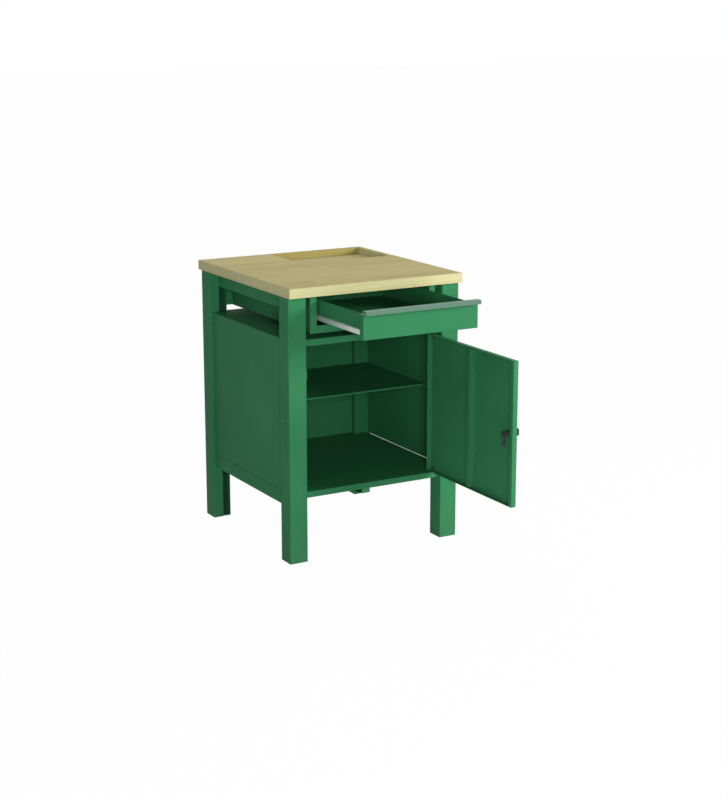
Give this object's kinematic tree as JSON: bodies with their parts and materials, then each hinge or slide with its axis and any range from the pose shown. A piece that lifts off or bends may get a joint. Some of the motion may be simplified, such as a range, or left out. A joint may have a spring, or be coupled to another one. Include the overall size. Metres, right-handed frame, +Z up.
{
  "type": "workbench",
  "caption": "Steel workbench with a wooden top, a tool well in one corner, a drawer on roller runners and a cupboard with a hinged, lockable door and a shelf.",
  "frame": {"origin": "on the floor, in the middle of the four feet", "axes": "+X to the right of someone facing the drawer, +Y to the back, +Z up"},
  "size_m": [0.6, 1.061, 0.85],
  "materials": {
    "green_paint": "satin",
    "beech": "oiled",
    "plywood": "oiled",
    "zinc_steel": "zinc plated",
    "dark_steel": "blackened",
    "aluminium": "anodised",
    "black_plastic": "matt",
    "green_plastic": "matt",
    "nylon": "smooth",
    "rubber": "matt"
  },
  "bodies": {
    "bench": {"worktop_base_board": "plywood", "worktop_top_board": "beech", "well_back_rim": "beech", "well_side_rim": "beech", "worktop_screws": "zinc_steel", "leg_back_right": "green_paint", "leg_back_left": "green_paint", "leg_front_right": "green_paint", "leg_front_left": "green_paint", "foot_plates": "green_paint", "leg_hole_plugs": "green_plastic", "top_rail_right": "green_paint", "top_rail_left": "green_paint", "bottom_rail_right": "green_paint", "bottom_rail_left": "green_paint", "top_rail_back": "green_paint", "bottom_rail_back": "green_paint", "frame_bolts": "dark_steel", "side_panel_right": "green_paint", "side_panel_left": "green_paint", "back_panel": "green_paint", "cabinet_floor": "green_paint", "cabinet_roof": "green_paint", "middle_shelf": "green_paint", "shelf_clips": "green_paint", "housing_side_right": "green_paint", "housing_side_left": "green_paint", "housing_bottom": "green_paint", "housing_back": "green_paint", "face_frame_right": "green_paint", "face_frame_left": "green_paint", "face_frame_bottom": "green_paint", "fixed_runner_right": "zinc_steel", "fixed_runner_left": "zinc_steel", "front_roller_axles": "zinc_steel", "hinge_pins": "dark_steel", "door_stop_bracket": "green_paint", "rubber_buffers": "rubber"},
    "drawer": {"drawer_front": "green_paint", "drawer_grip_rail": "aluminium", "grip_rail_screws": "zinc_steel", "drawer_side_right": "green_paint", "drawer_side_left": "green_paint", "drawer_bottom": "green_paint", "drawer_back": "green_paint", "drawer_inner_front": "green_paint", "moving_runner_right": "zinc_steel", "moving_runner_left": "zinc_steel", "rear_roller_axles": "zinc_steel"},
    "door": {"door_panel": "green_paint", "door_stiffener": "green_paint", "hinge_bushes": "dark_steel", "lock_barrel": "dark_steel"},
    "lock_turn": {"lock_knob": "black_plastic", "lock_cam": "dark_steel", "lock_nut": "dark_steel"},
    "front_roller_left": {"front_roller_left": "nylon"},
    "front_roller_right": {"front_roller_right": "nylon"},
    "rear_roller_left": {"rear_roller_left": "nylon"},
    "rear_roller_right": {"rear_roller_right": "nylon"}
  },
  "joints": [
    {"name": "drawer_slide", "type": "slide", "parent": "bench", "child": "drawer", "axis": [0, -1, 0], "range_m": [-0.276, 0.124]},
    {"name": "door_hinge", "type": "hinge", "parent": "bench", "child": "door", "pos_m": [0.218, -0.288, 0.44], "axis": [0, 0, 1], "range_deg": [-90, 25]},
    {"name": "lock_quarter_turn", "type": "hinge", "parent": "door", "child": "lock_turn", "pos_m": [0.223, -0.713, 0.44], "axis": [-1, 0, 0], "range_deg": [0, 90]},
    {"name": "front_roller_left_spin", "type": "hinge", "parent": "bench", "child": "front_roller_left", "pos_m": [-0.1934, -0.2605, 0.747], "axis": [1, 0, 0], "continuous": true},
    {"name": "rear_roller_left_spin", "type": "hinge", "parent": "drawer", "child": "rear_roller_left", "pos_m": [-0.1934, -0.046, 0.747], "axis": [1, 0, 0], "continuous": true},
    {"name": "front_roller_right_spin", "type": "hinge", "parent": "bench", "child": "front_roller_right", "pos_m": [0.1934, -0.2605, 0.747], "axis": [1, 0, 0], "continuous": true},
    {"name": "rear_roller_right_spin", "type": "hinge", "parent": "drawer", "child": "rear_roller_right", "pos_m": [0.1934, -0.046, 0.747], "axis": [1, 0, 0], "continuous": true}
  ],
  "couplings": [
    {"joint": "front_roller_left_spin", "follows": "drawer_slide", "rad_per_m": 105.26},
    {"joint": "rear_roller_left_spin", "follows": "drawer_slide", "rad_per_m": 80},
    {"joint": "front_roller_right_spin", "follows": "drawer_slide", "rad_per_m": 105.26},
    {"joint": "rear_roller_right_spin", "follows": "drawer_slide", "rad_per_m": 80}
  ]
}
